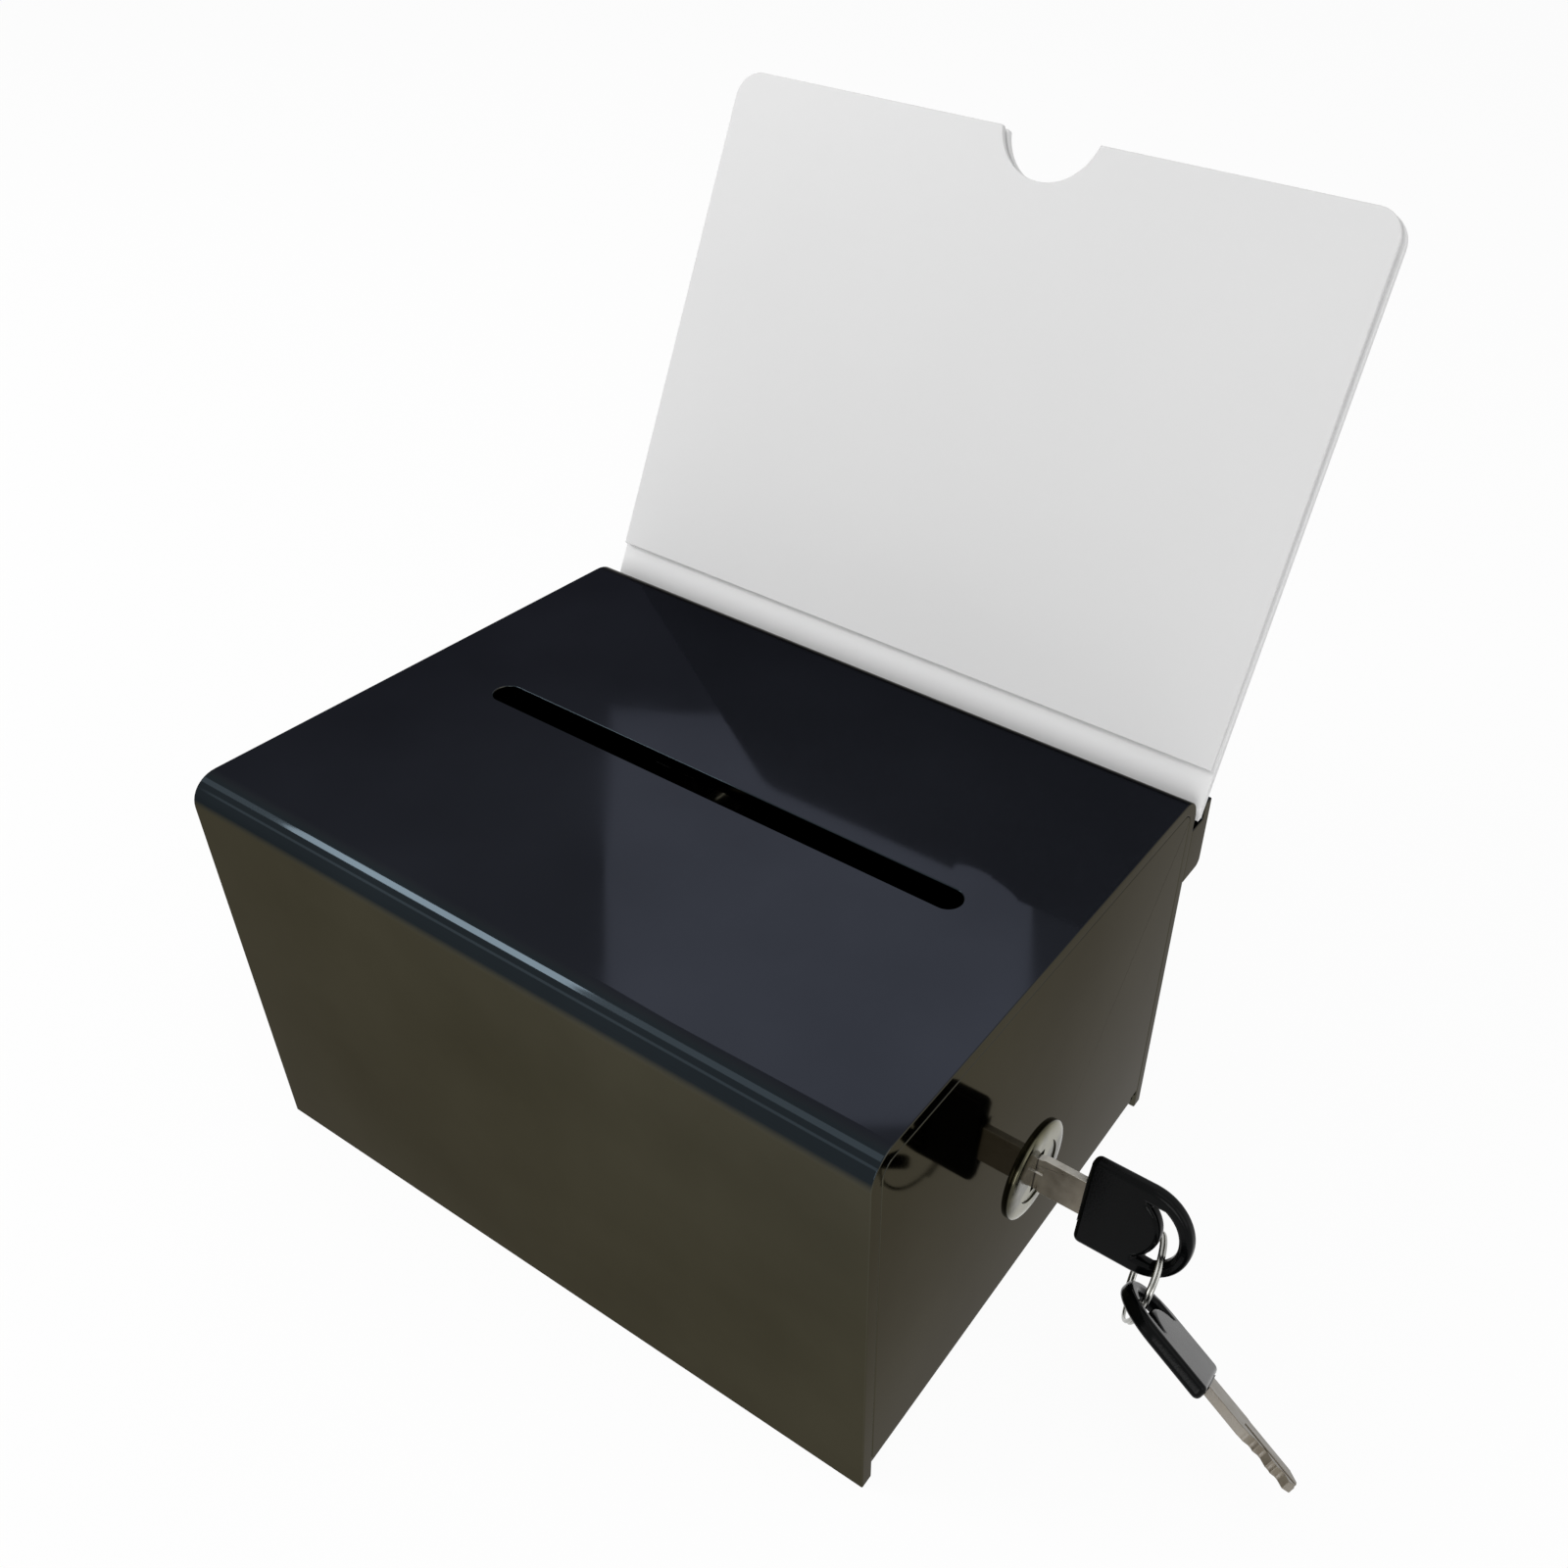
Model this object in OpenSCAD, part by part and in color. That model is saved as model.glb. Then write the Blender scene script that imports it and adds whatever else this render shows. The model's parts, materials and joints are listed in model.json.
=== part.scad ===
// Counter-top ballot box in bent black acrylic sheet. It has a slot in the top, a hinged
// bottom door with a cam lock in the right side, two keys on a ring, and a lift-off sign.
// X runs to the right, Y to the rear and Z up. The origin is the middle of the front
// wall's lower outside edge, on the surface that the box stands on.

/* [Box] */
// Width of the box, left to right
box_w = 160; // [150:1:240]
// Depth of the box, front to back
box_d = 116; // [104:1:180]
// Height of the box
box_h = 94; // [90:1:150]
// Thickness of the black sheet
sheet = 3; // [2.5:0.1:3.5]
// Outside radius of the two long bends
bend_r = 6; // [4.5:0.5:10]
// Length of the ballot slot
slot_len = 117.6; // [60:0.2:130]
// Width of the ballot slot
slot_w = 6; // [3:0.5:12]

/* [Sign channel] */
// Free space in the channel, front to back
channel_gap = 5.3; // [4:0.1:8]
// Distance of the channel's top below the top of the box
channel_drop = 6.2; // [6.2:0.1:30]
// Height of the channel's outer wall
channel_h = 18.1; // [12:0.1:20]
// Radius of the channel's lower outside edge
channel_r = 2; // [0.5:0.5:2.5]
// Thickness of the channel's closed ends
channel_end = 2.6; // [2:0.1:4]
// Distance of the closed ends below the channel's top
channel_end_drop = 4; // [3:0.5:8]

/* [Sign] */
// How far the sign reaches past each side of the box
sign_side = 0.5; // [0:0.5:20]
// Length of the sign above its bend
sign_len = 122.6; // [60:0.2:200]
// Lean of the sign, back from upright
sign_lean = 27.6; // [10:0.1:35]
// Thickness of the back sheet
sign_t = 2; // [1.5:0.1:2.5]
// Radius of the sign's bend on its front face
sign_bend_r = 5; // [3.5:0.5:8]
// Thickness of the front sheet
pocket_t = 1.5; // [1:0.1:2]
// How far the front sheet's sides stand in from the back sheet's
pocket_inset = 0.5; // [0:0.1:4]
// Height of the front sheet's lower edge above the bend
pocket_start = 10; // [6:0.5:30]
// Height of the strip that is glued to the back sheet
glue_h = 5; // [3:0.5:10]
// Gap between the two sheets at the top
pocket_gap = 1.35; // [0.5:0.05:3]
// Radius of the sign's top corners
corner_r = 6; // [2:0.5:12]
// Radius of the thumb notch
notch_r = 12; // [11:0.5:18]
// Depth of the thumb notch
notch_depth = 9.5; // [5:0.5:10]
// Distance of the thumb notch to the right of the middle
notch_x = 2; // [-20:0.5:20]

/* [Door] */
// Height of the door's underside
door_z = 3.1; // [1:0.1:5]
// Gap between the door and the front and rear walls
door_gap = 0.5; // [0.3:0.1:1.5]
// How far the door's edge stands in from the right side
door_inset = 0.6; // [0.3:0.1:2]
// Gap between the door and the side panels above it
seat_gap = 0.3; // [0.3:0.1:1]
// Distance of the strike behind the lock's axis
strike_y = 11; // [8:0.5:12]
// Width of the strike, front to back
strike_w = 12; // [8:0.5:14]
// Gap between the strike's lip and the cam
strike_gap = 0.3; // [0.3:0.1:1]

/* [Hinges] */
// Distance of a hinge's middle from the outside of the nearer wall
hinge_inset = 25; // [18:1:35]
// Length of a hinge
hinge_len = 20; // [16:1:24]
// Number of knuckles in a hinge
hinge_knuckles = 5; // [3:2:7]
// Outside radius of the knuckles
knuckle_r = 1.5; // [1.3:0.1:1.8]
// Gap between two knuckles
knuckle_gap = 0.3; // [0.2:0.1:0.5]
// Radius of the hinge pin
hinge_pin_r = 0.75; // [0.5:0.05:0.8]
// Width of a leaf, from the pin's axis
leaf_w = 12.6; // [11:0.1:16]
// Thickness of a leaf
leaf_t = 0.8; // [0.6:0.1:1]
// Distance of the leaf screws from the pin's axis
leaf_screw_x = 8; // [6:0.5:8.5]
// Distance of the leaf screws from the hinge's middle
leaf_screw_y = 6; // [4:0.5:6]
// Shank radius of the leaf screws
leaf_screw_r = 1; // [0.8:0.1:1.1]

/* [Lock] */
// Height of the lock's axis
lock_z = 34; // [30:0.5:50]
// Radius of the lock's bezel
bezel_r = 11; // [10.5:0.1:13]
// Thickness of the bezel
bezel_h = 1.4; // [1:0.1:3]
// Height of the bezel's straight edge
bezel_edge = 0.6; // [0.3:0.1:0.9]
// Radius of the flat ring in front of the bezel's dome
bezel_flat_r = 8.2; // [7.6:0.1:9.5]
// Radius of the lock's body
body_r = 9.4; // [8.8:0.1:10]
// Distance across the two flats on the body
body_flats = 16.4; // [15.6:0.1:17.2]
// Length of the body behind the panel's outside
body_len = 15.7; // [15.5:0.1:20]
// Width across the nut's flats
nut_flats = 24; // [22:0.5:26]
// Thickness of the nut
nut_t = 3; // [2:0.5:4]
// Radius of the turning plug
plug_r = 7; // [6.5:0.1:7.3]
// Depth of the key slot behind the panel's outside
key_slot_depth = 12.4; // [12.2:0.1:12.6]
// Reach of the cam from the lock's axis
cam_reach = 24; // [20:0.5:26]
// Width of the cam's arm
cam_w = 9; // [7:0.5:10]
// Thickness of the cam
cam_t = 2; // [1.5:0.1:2.5]

/* [Keys] */
// Distance from the panel's outside to the base of the key's head
key_out = 12; // [11:0.5:13]
// Turn of the locked key from upright, to the rear when negative
key_turn = -11; // [-20:1:20]
// Width of the key's head
head_w = 21.4; // [20:0.2:26]
// Length of the key's head
head_len = 23.8; // [22:0.2:28]
// Thickness of the key's head
head_t = 3.2; // [3:0.1:4]
// Width of the rim round the hole
head_rim = 2.9; // [2.5:0.1:3.1]
// Width of the crescent hole
hole_w = 3.9; // [3:0.1:4.2]
// Length of the crescent hole
hole_len = 14; // [12:0.5:14]
// Width of the neck between head and blade
neck_w = 8.4; // [8:0.2:12]
// Width of the blade
blade_w = 7.6; // [7:0.1:8]
// Thickness of the blade and its neck
blade_t = 1.9; // [1.6:0.1:2.2]
// Length of the neck and blade in front of the head
blade_len = 23; // [21:0.5:23]

/* [Key ring] */
// Radius of the ring, to the middle of the wire
ring_r = 9.1; // [8.5:0.1:10]
// Radius of the wire
wire_r = 0.42; // [0.35:0.01:0.45]

/* [Hidden] */
$fn = 48;

// Colours
black = [0.06, 0.06, 0.07];
sign_grey = [0.86, 0.86, 0.86];
chrome = [0.80, 0.81, 0.83];
nickel = [0.72, 0.70, 0.66];
steel = [0.62, 0.63, 0.65];

// Overshoot of a cutting shape past the face that it cuts
past = 1;
// Radial clearance of a turning fit, and play of a fixed one
running_gap = 0.05;
fixed_gap = 0.05;

// Box
half_w = box_w / 2;
panel_z = door_z + sheet + seat_gap;

// Sign
sign_w = box_w + 2 * sign_side;
channel_z = box_h - channel_drop - channel_h;
sign_clear = 0.6;
sign_y = box_d + sign_clear;
sign_z = channel_z + sheet + 0.3;
sign_corner_z = channel_z + channel_h - 0.3;
bend_drop = sign_bend_r * tan(sign_lean / 2);
bend_z = sign_corner_z - bend_drop;
plate_len = sign_len - bend_drop;
pocket_s = pocket_start - bend_drop;
// Set-back of the plate, so that it meets the bend in a clean edge
bend_crease = 0.002;
// The leg is narrower than the plate, to pass between the channel's closed ends
leg_play = 0.4;
leg_inset = sign_side + channel_end + leg_play;
leg_stop = 0.1;

// Door and hinges
door_top = door_z + sheet;
panel_play = 0.1;
hinge_x = -(half_w - sheet) + knuckle_r + panel_play;
hinge_z = door_top + knuckle_r;
hinge_pitch = hinge_len / hinge_knuckles;
front_hinge_y = hinge_inset;
rear_hinge_y = box_d - hinge_inset;
door_x = hinge_x + knuckle_r + knuckle_gap;
pin_head_r = 1.3;
pin_head_t = 0.5;
leaf_head_r = 1.9;
leaf_head_h = 1;
leaf_screw_bite = 2.2;

// Lock, in distances from the panel's outside along the lock's axis
lock_y = box_d / 2;
plug_bore_r = plug_r + running_gap;
plug_face = bezel_h - 0.3;
cam_gap = 0.5;
cam_back = -body_len - cam_gap - cam_t;
cam_hub_r = 6.5;
tail_r = 4.5;
tail_flats = 6.6;
tail_short = 0.1;
washer_r = 4.5;
washer_t = 0.5;
washer_back = cam_back - washer_t;
cam_screw_r = 1.98;
cam_head_r = 3.7;
cam_head_h = 2.4;
cam_screw_len = 5.2;
key_slot_play = 0.1;

// Recess round the mouth of the key slot, and depth of the screw's hole in the plug
mouth_end = 1;
mouth_side = 0.4;
mouth_depth = 0.5;
screw_hole = 2.7;

// Strike on the door, beside and above the locked cam
strike_clear = 1.8;
strike_over = 3.2;
strike_x = half_w + cam_back - strike_clear - sheet;
strike_lip_z = lock_z + cam_w / 2 + strike_gap;
strike_reach = sheet + strike_clear + cam_t + strike_over;

// Key
head_r = head_w / 2;
arc_u = head_len - head_r;
hole_r = head_r - head_rim;
base_r = 1.5;
tang_w = 9;
tang_len = 10;
shoulder = 1;
neck_gap = 0.6;
neck_len = key_out - plug_face - neck_gap - shoulder;
tip_len = 2;
tip_w = 2.6;
groove_w = 1.3;
groove_d = 0.45;
groove_v = 0.9;
// Notches of the blade: distance in front of the head, and depth
blade_cuts = [[12.6, 1.4], [15.0, 2.2], [17.4, 1.0], [19.6, 1.8]];

// Ring: its top in the key's hole, its centre and its two directions
coil_step = wire_r * 1.8;
ring_tilt = -15.5;
ring_yaw = 17.5;
ring_u = 18.1;
ring_v = -3.3;
ring_top = [
    half_w + key_out + ring_u,
    lock_y - ring_v * sin(key_turn),
    lock_z + ring_v * cos(key_turn)
];
ring_level = [-sin(ring_yaw), cos(ring_yaw), 0];
ring_down = [sin(ring_tilt) * cos(ring_yaw), sin(ring_tilt) * sin(ring_yaw), -cos(ring_tilt)];
ring_centre = ring_top + ring_r * ring_down;

// Spare key: where the ring passes through its hole, and how it lies
hook_angle = 165.8;
hook_u = 18.52;
hook_v = 2.36;
spare_turn = [-42.1, -19.6, 166.3];
hook = ring_centre + ring_r * (cos(hook_angle) * ring_level - sin(hook_angle) * ring_down);

// Helpers

// Extrudes an outline drawn in (y, z) along X, about the middle of the box
module along_x(length) {
    rotate([90, 0, 90]) linear_extrude(length, center = true) children();
}

// Area between two walls under a top with round corners, in (y, z)
module round_top(y0, y1, bottom, top, r) {
    translate([y0, bottom]) square([y1 - y0, top - r - bottom]);
    translate([y0 + r, bottom]) square([y1 - y0 - 2 * r, top - bottom]);
    for (y = [y0 + r, y1 - r]) translate([y, top - r]) circle(r);
}

// Round bar with two flats, at right angles to Y
module double_d(r, flats, h) {
    intersection() {
        cylinder(r = r, h = h);
        translate([-r, -flats / 2, 0]) cube([2 * r, flats, h]);
    }
}

// Screw head with a cross recess in its top
module cross_head(r, h) {
    difference() {
        union() {
            cylinder(r = r, h = h * 0.6);
            translate([0, 0, h * 0.6]) cylinder(r1 = r, r2 = r * 0.75, h = h * 0.4);
        }
        for (a = [0, 90]) rotate(a) translate([-r / 2, -r / 8, h / 2]) cube([r, r / 4, h]);
    }
}

// Box

module shell() {
    color(black) difference() {
        along_x(box_w) difference() {
            round_top(0, box_d, 0, box_h, bend_r);
            round_top(sheet, box_d - sheet, -past, box_h - sheet, bend_r - sheet);
        }
        translate([0, box_d / 2, box_h - sheet - past]) linear_extrude(sheet + 2 * past) {
            square([slot_len - slot_w, slot_w], center = true);
            for (s = [-1, 1]) translate([s * (slot_len - slot_w) / 2, 0]) circle(slot_w / 2);
        }
    }
}

module side_panel(side) {
    translate([side * (half_w - sheet / 2), 0, 0]) along_x(sheet)
        round_top(sheet, box_d - sheet, panel_z, box_h - sheet, bend_r - sheet);
}

module left_side_panel() {
    color(black) difference() {
        side_panel(-1);
        for (y = [front_hinge_y, rear_hinge_y]) on_fixed_leaf(y) leaf_screw_holes(knuckle_r + panel_play);
    }
}

module right_side_panel() {
    color(black) difference() {
        side_panel(1);
        on_lock_axis() translate([0, 0, -sheet - past])
            double_d(body_r + fixed_gap, body_flats + 2 * fixed_gap, sheet + 2 * past);
    }
}

module sign_channel() {
    outer_y = box_d + channel_gap + sheet;
    end_top = channel_z + channel_h - channel_end_drop;
    color(black) difference() {
        along_x(box_w) {
            translate([box_d, channel_z]) square([channel_gap + sheet - channel_r, channel_h]);
            translate([box_d, channel_z + channel_r])
                square([channel_gap + sheet, channel_h - channel_r]);
            translate([outer_y - channel_r, channel_z + channel_r]) circle(channel_r);
        }
        along_x(box_w - 2 * channel_end) translate([box_d - past, channel_z + sheet])
            square([channel_gap + past, channel_h]);
        along_x(box_w + 2 * past) translate([box_d - past, end_top])
            square([channel_gap + past, channel_h]);
    }
}

// Sign

// Places children on the leaning plate: X across, Y up the plate, Z out of its front
module on_sign_plate() {
    translate([0, sign_y + sign_bend_r, bend_z]) rotate([90 - sign_lean, 0, 0]) children();
}

// Bits that the two top corners and the thumb notch take off a sheet of the given width
module sign_cuts(width) {
    reach = sign_bend_r + pocket_gap + pocket_t + 2 * past;
    on_sign_plate() linear_extrude(reach) {
        for (s = [-1, 1]) translate([s * (width / 2 - corner_r), plate_len - corner_r])
            difference() {
                translate([s > 0 ? 0 : -corner_r - past, 0]) square(corner_r + past);
                circle(corner_r);
            }
        translate([notch_x, plate_len + notch_r - notch_depth]) circle(notch_r, $fn = 96);
    }
}

// Leg, bend and plate of the back sheet in (y, z), all filled to the given radius
module sign_profile(r, over) {
    plate_r = r - bend_crease;
    translate([-r, sign_z - bend_z - over]) square([r, bend_z - sign_z + over]);
    circle(r);
    rotate(-sign_lean) translate([-plate_r, 0]) square([plate_r, plate_len + over]);
}

module sign_back_sheet() {
    rear = 2 * sign_len;
    color(sign_grey) difference() {
        along_x(sign_w) translate([sign_y + sign_bend_r, bend_z]) difference() {
            sign_profile(sign_bend_r, 0);
            sign_profile(sign_bend_r - sign_t, past);
            translate([-past, 0])
                polygon([[0, 0], [rear * sin(sign_lean), rear * cos(sign_lean)], [rear, 0], [0, -rear]]);
        }
        sign_cuts(sign_w);
        for (s = [-1, 1]) translate([s * sign_w / 2, sign_y + sign_bend_r, 0])
            cube([2 * leg_inset, 4 * sign_bend_r, 2 * (bend_z - leg_stop)], center = true);
    }
}

module sign_front_sheet() {
    width = sign_w - 2 * pocket_inset;
    near = sign_bend_r - bend_crease;
    far = near + pocket_gap;
    color(sign_grey) difference() {
        on_sign_plate() along_x(width) polygon([
            [pocket_s, near], [pocket_s + glue_h, near], [plate_len, far],
            [plate_len, far + pocket_t], [pocket_s + glue_h, near + pocket_t],
            [pocket_s, near + pocket_t]
        ]);
        sign_cuts(width);
    }
}

// Door

module bottom_door() {
    color(black) difference() {
        translate([door_x, sheet + door_gap, door_z])
            cube([half_w - door_inset - door_x, box_d - 2 * (sheet + door_gap), sheet]);
        for (y = [front_hinge_y, rear_hinge_y]) on_moving_leaf(y) leaf_screw_holes(knuckle_r);
    }
}

module door_strike() {
    color(black) translate([strike_x, lock_y + strike_y, 0]) {
        translate([0, 0, door_top]) cube([sheet, strike_w, strike_lip_z + sheet - door_top]);
        translate([0, 0, strike_lip_z]) cube([strike_reach, strike_w, sheet]);
    }
}

// Hinges

// A leaf lies along +X of its own frame, with the pin along Y
module on_moving_leaf(y) {
    translate([hinge_x, y, hinge_z]) children();
}

module on_fixed_leaf(y) {
    translate([hinge_x, y, hinge_z]) rotate([0, -90, 0]) mirror([0, 0, 1]) children();
}

module leaf_screw_places() {
    for (s = [-1, 1]) translate([leaf_screw_x, s * leaf_screw_y, 0]) children();
}

// Leaf with its outer face at the given distance below the pin and every other knuckle
module hinge_leaf(first, drop) {
    clear_x = knuckle_r + knuckle_gap;
    difference() {
        union() {
            translate([clear_x, -hinge_len / 2, -drop]) cube([leaf_w - clear_x, hinge_len, leaf_t]);
            for (i = [first : 2 : hinge_knuckles - 1])
                translate([0, (i + 0.5) * hinge_pitch - hinge_len / 2, 0]) {
                    rotate([90, 0, 0])
                        cylinder(r = knuckle_r, h = hinge_pitch - knuckle_gap, center = true);
                    translate([0, -(hinge_pitch - knuckle_gap) / 2, -drop])
                        cube([clear_x, hinge_pitch - knuckle_gap, leaf_t]);
                }
        }
        rotate([90, 0, 0])
            cylinder(r = hinge_pin_r + running_gap, h = hinge_len + 2 * past, center = true);
        leaf_screw_places() translate([0, 0, -drop - past])
            cylinder(r = leaf_screw_r + fixed_gap, h = leaf_t + 2 * past);
    }
}

// Pilot holes for the leaf screws in the sheet under a leaf
module leaf_screw_holes(drop) {
    leaf_screw_places() translate([0, 0, -drop - leaf_screw_bite - 0.2])
        cylinder(r = leaf_screw_r + fixed_gap, h = leaf_screw_bite + 0.2 + past);
}

module leaf_screws(drop) {
    leaf_screw_places() translate([0, 0, leaf_t - drop]) {
        cross_head(leaf_head_r, leaf_head_h);
        translate([0, 0, -leaf_t - leaf_screw_bite])
            cylinder(r = leaf_screw_r, h = leaf_t + leaf_screw_bite);
    }
}

module hinge_pin(y) {
    color(steel) translate([hinge_x, y, hinge_z]) rotate([90, 0, 0]) {
        cylinder(r = hinge_pin_r, h = hinge_len + 2 * pin_head_t, center = true);
        for (s = [-1, 1]) translate([0, 0, s * (hinge_len + pin_head_t) / 2])
            cylinder(r = pin_head_r, h = pin_head_t, center = true);
    }
}

module front_hinge_fixed_leaf() {
    color(steel) on_fixed_leaf(front_hinge_y) hinge_leaf(0, knuckle_r + panel_play);
}

module rear_hinge_fixed_leaf() {
    color(steel) on_fixed_leaf(rear_hinge_y) hinge_leaf(0, knuckle_r + panel_play);
}

module front_hinge_moving_leaf() {
    color(steel) on_moving_leaf(front_hinge_y) hinge_leaf(1, knuckle_r);
}

module rear_hinge_moving_leaf() {
    color(steel) on_moving_leaf(rear_hinge_y) hinge_leaf(1, knuckle_r);
}

module front_hinge_pin() {
    hinge_pin(front_hinge_y);
}

module rear_hinge_pin() {
    hinge_pin(rear_hinge_y);
}

module fixed_leaf_screws() {
    color(steel) for (y = [front_hinge_y, rear_hinge_y])
        on_fixed_leaf(y) leaf_screws(knuckle_r + panel_play);
}

module moving_leaf_screws() {
    color(steel) for (y = [front_hinge_y, rear_hinge_y]) on_moving_leaf(y) leaf_screws(knuckle_r);
}

// Lock

// Lock's own frame: Z out of the right side, X down, origin on the panel's outside
module on_lock_axis() {
    translate([half_w, lock_y, lock_z]) rotate([0, 90, 0]) children();
}

module lock_housing() {
    dome = [for (a = [0 : 15 : 90])
        [bezel_flat_r + (bezel_r - bezel_flat_r) * cos(a), bezel_edge + (bezel_h - bezel_edge) * sin(a)]];
    color(chrome) on_lock_axis() difference() {
        union() {
            rotate_extrude($fn = 64)
                polygon(concat([[0, 0], [bezel_r, 0]], dome, [[0, bezel_h]]));
            translate([0, 0, -body_len]) double_d(body_r, body_flats, body_len);
        }
        translate([0, 0, -body_len - past])
            cylinder(r = plug_bore_r, h = body_len + bezel_h + 2 * past);
    }
}

module lock_nut() {
    corner_r = nut_flats / 2 / cos(30);
    color(steel) on_lock_axis() translate([0, 0, -sheet]) mirror([0, 0, 1]) difference() {
        intersection() {
            cylinder(r = corner_r, h = nut_t, $fn = 6);
            cylinder(r1 = corner_r + nut_t / 4, r2 = corner_r - nut_t / 4, h = nut_t);
        }
        translate([0, 0, -past]) cylinder(r = body_r + fixed_gap, h = nut_t + 2 * past);
    }
}

module lock_plug() {
    key_slot_w = blade_w + 2 * key_slot_play;
    slot_t = blade_t + 2 * key_slot_play;
    mouth_w = key_slot_w + 2 * mouth_end;
    mouth_t = slot_t + 2 * mouth_side;
    tail_len = cam_gap + cam_t - tail_short;
    color(chrome) on_lock_axis() difference() {
        union() {
            translate([0, 0, -body_len]) cylinder(r = plug_r, h = body_len + plug_face);
            translate([0, 0, -body_len - tail_len]) double_d(tail_r, tail_flats, tail_len + past);
        }
        rotate(key_turn) {
            translate([-key_slot_w / 2, -slot_t / 2, -key_slot_depth])
                cube([key_slot_w, slot_t, key_slot_depth + plug_face + past]);
            translate([-mouth_w / 2, -mouth_t / 2, plug_face - mouth_depth])
                cube([mouth_w, mouth_t, mouth_depth + past]);
        }
        translate([0, 0, -body_len - tail_len - past])
            cylinder(r = cam_screw_r + fixed_gap, h = tail_len + past + screw_hole);
    }
}

module lock_cam() {
    color(steel) on_lock_axis() translate([0, 0, cam_back]) difference() {
        union() {
            cylinder(r = cam_hub_r, h = cam_t);
            translate([0, -cam_w / 2, 0]) cube([cam_reach - cam_w / 2, cam_w, cam_t]);
            translate([cam_reach - cam_w / 2, 0, 0]) cylinder(r = cam_w / 2, h = cam_t);
        }
        translate([0, 0, -past])
            double_d(tail_r + fixed_gap, tail_flats + 2 * fixed_gap, cam_t + 2 * past);
    }
}

module cam_washer() {
    teeth = 10;
    color(steel) on_lock_axis() translate([0, 0, washer_back]) difference() {
        cylinder(r = washer_r, h = washer_t);
        translate([0, 0, -past]) cylinder(r = cam_screw_r + 0.12, h = washer_t + 2 * past);
        for (i = [0 : teeth - 1]) rotate(i * 360 / teeth)
            translate([washer_r * 0.75, -0.5, -past]) cube([washer_r, 1, washer_t + 2 * past]);
    }
}

module cam_screw() {
    color(steel) on_lock_axis() translate([0, 0, washer_back]) {
        mirror([0, 0, 1]) cross_head(cam_head_r, cam_head_h);
        cylinder(r = cam_screw_r, h = cam_screw_len);
    }
}

// Keys: X from the tip to the round end, Z across, Y through the thickness

module blade_outline() {
    difference() {
        polygon([
            [tang_len, -tang_w / 2], [tang_len, tang_w / 2], [0, tang_w / 2],
            [0, neck_w / 2], [-neck_len, neck_w / 2], [-neck_len - shoulder, blade_w / 2],
            [tip_len - blade_len, blade_w / 2], [-blade_len, tip_w / 2],
            [-blade_len, -tip_w / 2], [tip_len - blade_len, -blade_w / 2],
            [-neck_len - shoulder, -blade_w / 2], [-neck_len, -neck_w / 2],
            [0, -neck_w / 2], [0, -tang_w / 2]
        ]);
        for (cut = blade_cuts) translate([-cut[0], blade_w / 2])
            polygon([[-cut[1] - 0.5, 0.2], [-0.3, -cut[1]], [0.3, -cut[1]], [cut[1] + 0.5, 0.2]]);
    }
}

module blade_form() {
    color(nickel) difference() {
        rotate([90, 0, 0]) linear_extrude(blade_t, center = true) blade_outline();
        for (s = [-1, 1])
            translate([-blade_len - past, s * blade_t / 2 - groove_d, -s * groove_v - groove_w / 2])
                cube([blade_len + past - neck_len, 2 * groove_d, groove_w]);
    }
}

module head_outline() {
    intersection() {
        translate([arc_u, 0]) circle(head_r, $fn = 96);
        translate([arc_u, -head_r]) square([head_r, head_w]);
    }
    translate([base_r, -head_r]) square([arc_u - base_r, head_w]);
    translate([0, base_r - head_r]) square([arc_u, head_w - 2 * base_r]);
    for (s = [-1, 1]) translate([base_r, s * (head_r - base_r)]) circle(base_r);
}

module crescent() {
    intersection() {
        difference() {
            translate([arc_u, 0]) circle(hole_r, $fn = 96);
            translate([arc_u - hole_w, 0]) circle(hole_r, $fn = 96);
        }
        translate([arc_u, -hole_len / 2]) square([head_r, hole_len]);
    }
}

module head_form() {
    color(black) difference() {
        rotate([90, 0, 0]) linear_extrude(head_t, center = true) difference() {
            head_outline();
            crescent();
        }
        translate([-past, -blade_t / 2 - fixed_gap, -tang_w / 2 - fixed_gap])
            cube([tang_len + past + fixed_gap, blade_t + 2 * fixed_gap, tang_w + 2 * fixed_gap]);
    }
}

module in_lock() {
    translate([half_w + key_out, lock_y, lock_z]) rotate([key_turn, 0, 0]) children();
}

module on_ring() {
    translate(hook) rotate(spare_turn) translate([-hook_u, 0, -hook_v]) children();
}

module key_blade() {
    in_lock() blade_form();
}

module key_head() {
    in_lock() head_form();
}

module spare_key_blade() {
    on_ring() blade_form();
}

module spare_key_head() {
    on_ring() head_form();
}

// Split ring: two turns of wire, pressed together
module key_ring() {
    color(nickel) translate(ring_centre) rotate([0, 90 - ring_tilt, ring_yaw])
        rotate_extrude($fn = 60) translate([ring_r, 0])
            for (s = [-1, 1]) translate([0, s * coil_step / 2]) circle(wire_r, $fn = 16);
}

shell();
left_side_panel();
right_side_panel();
sign_channel();
bottom_door();
door_strike();
front_hinge_fixed_leaf();
rear_hinge_fixed_leaf();
front_hinge_moving_leaf();
rear_hinge_moving_leaf();
front_hinge_pin();
rear_hinge_pin();
fixed_leaf_screws();
moving_leaf_screws();
lock_housing();
lock_nut();
lock_plug();
lock_cam();
cam_washer();
cam_screw();
key_blade();
key_head();
key_ring();
spare_key_blade();
spare_key_head();
sign_back_sheet();
sign_front_sheet();
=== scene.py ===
# Finishes every piece of the ballot box and sets its stage: floor, light and camera.
import json
import math

import bpy
from mathutils import Matrix, Vector


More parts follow.
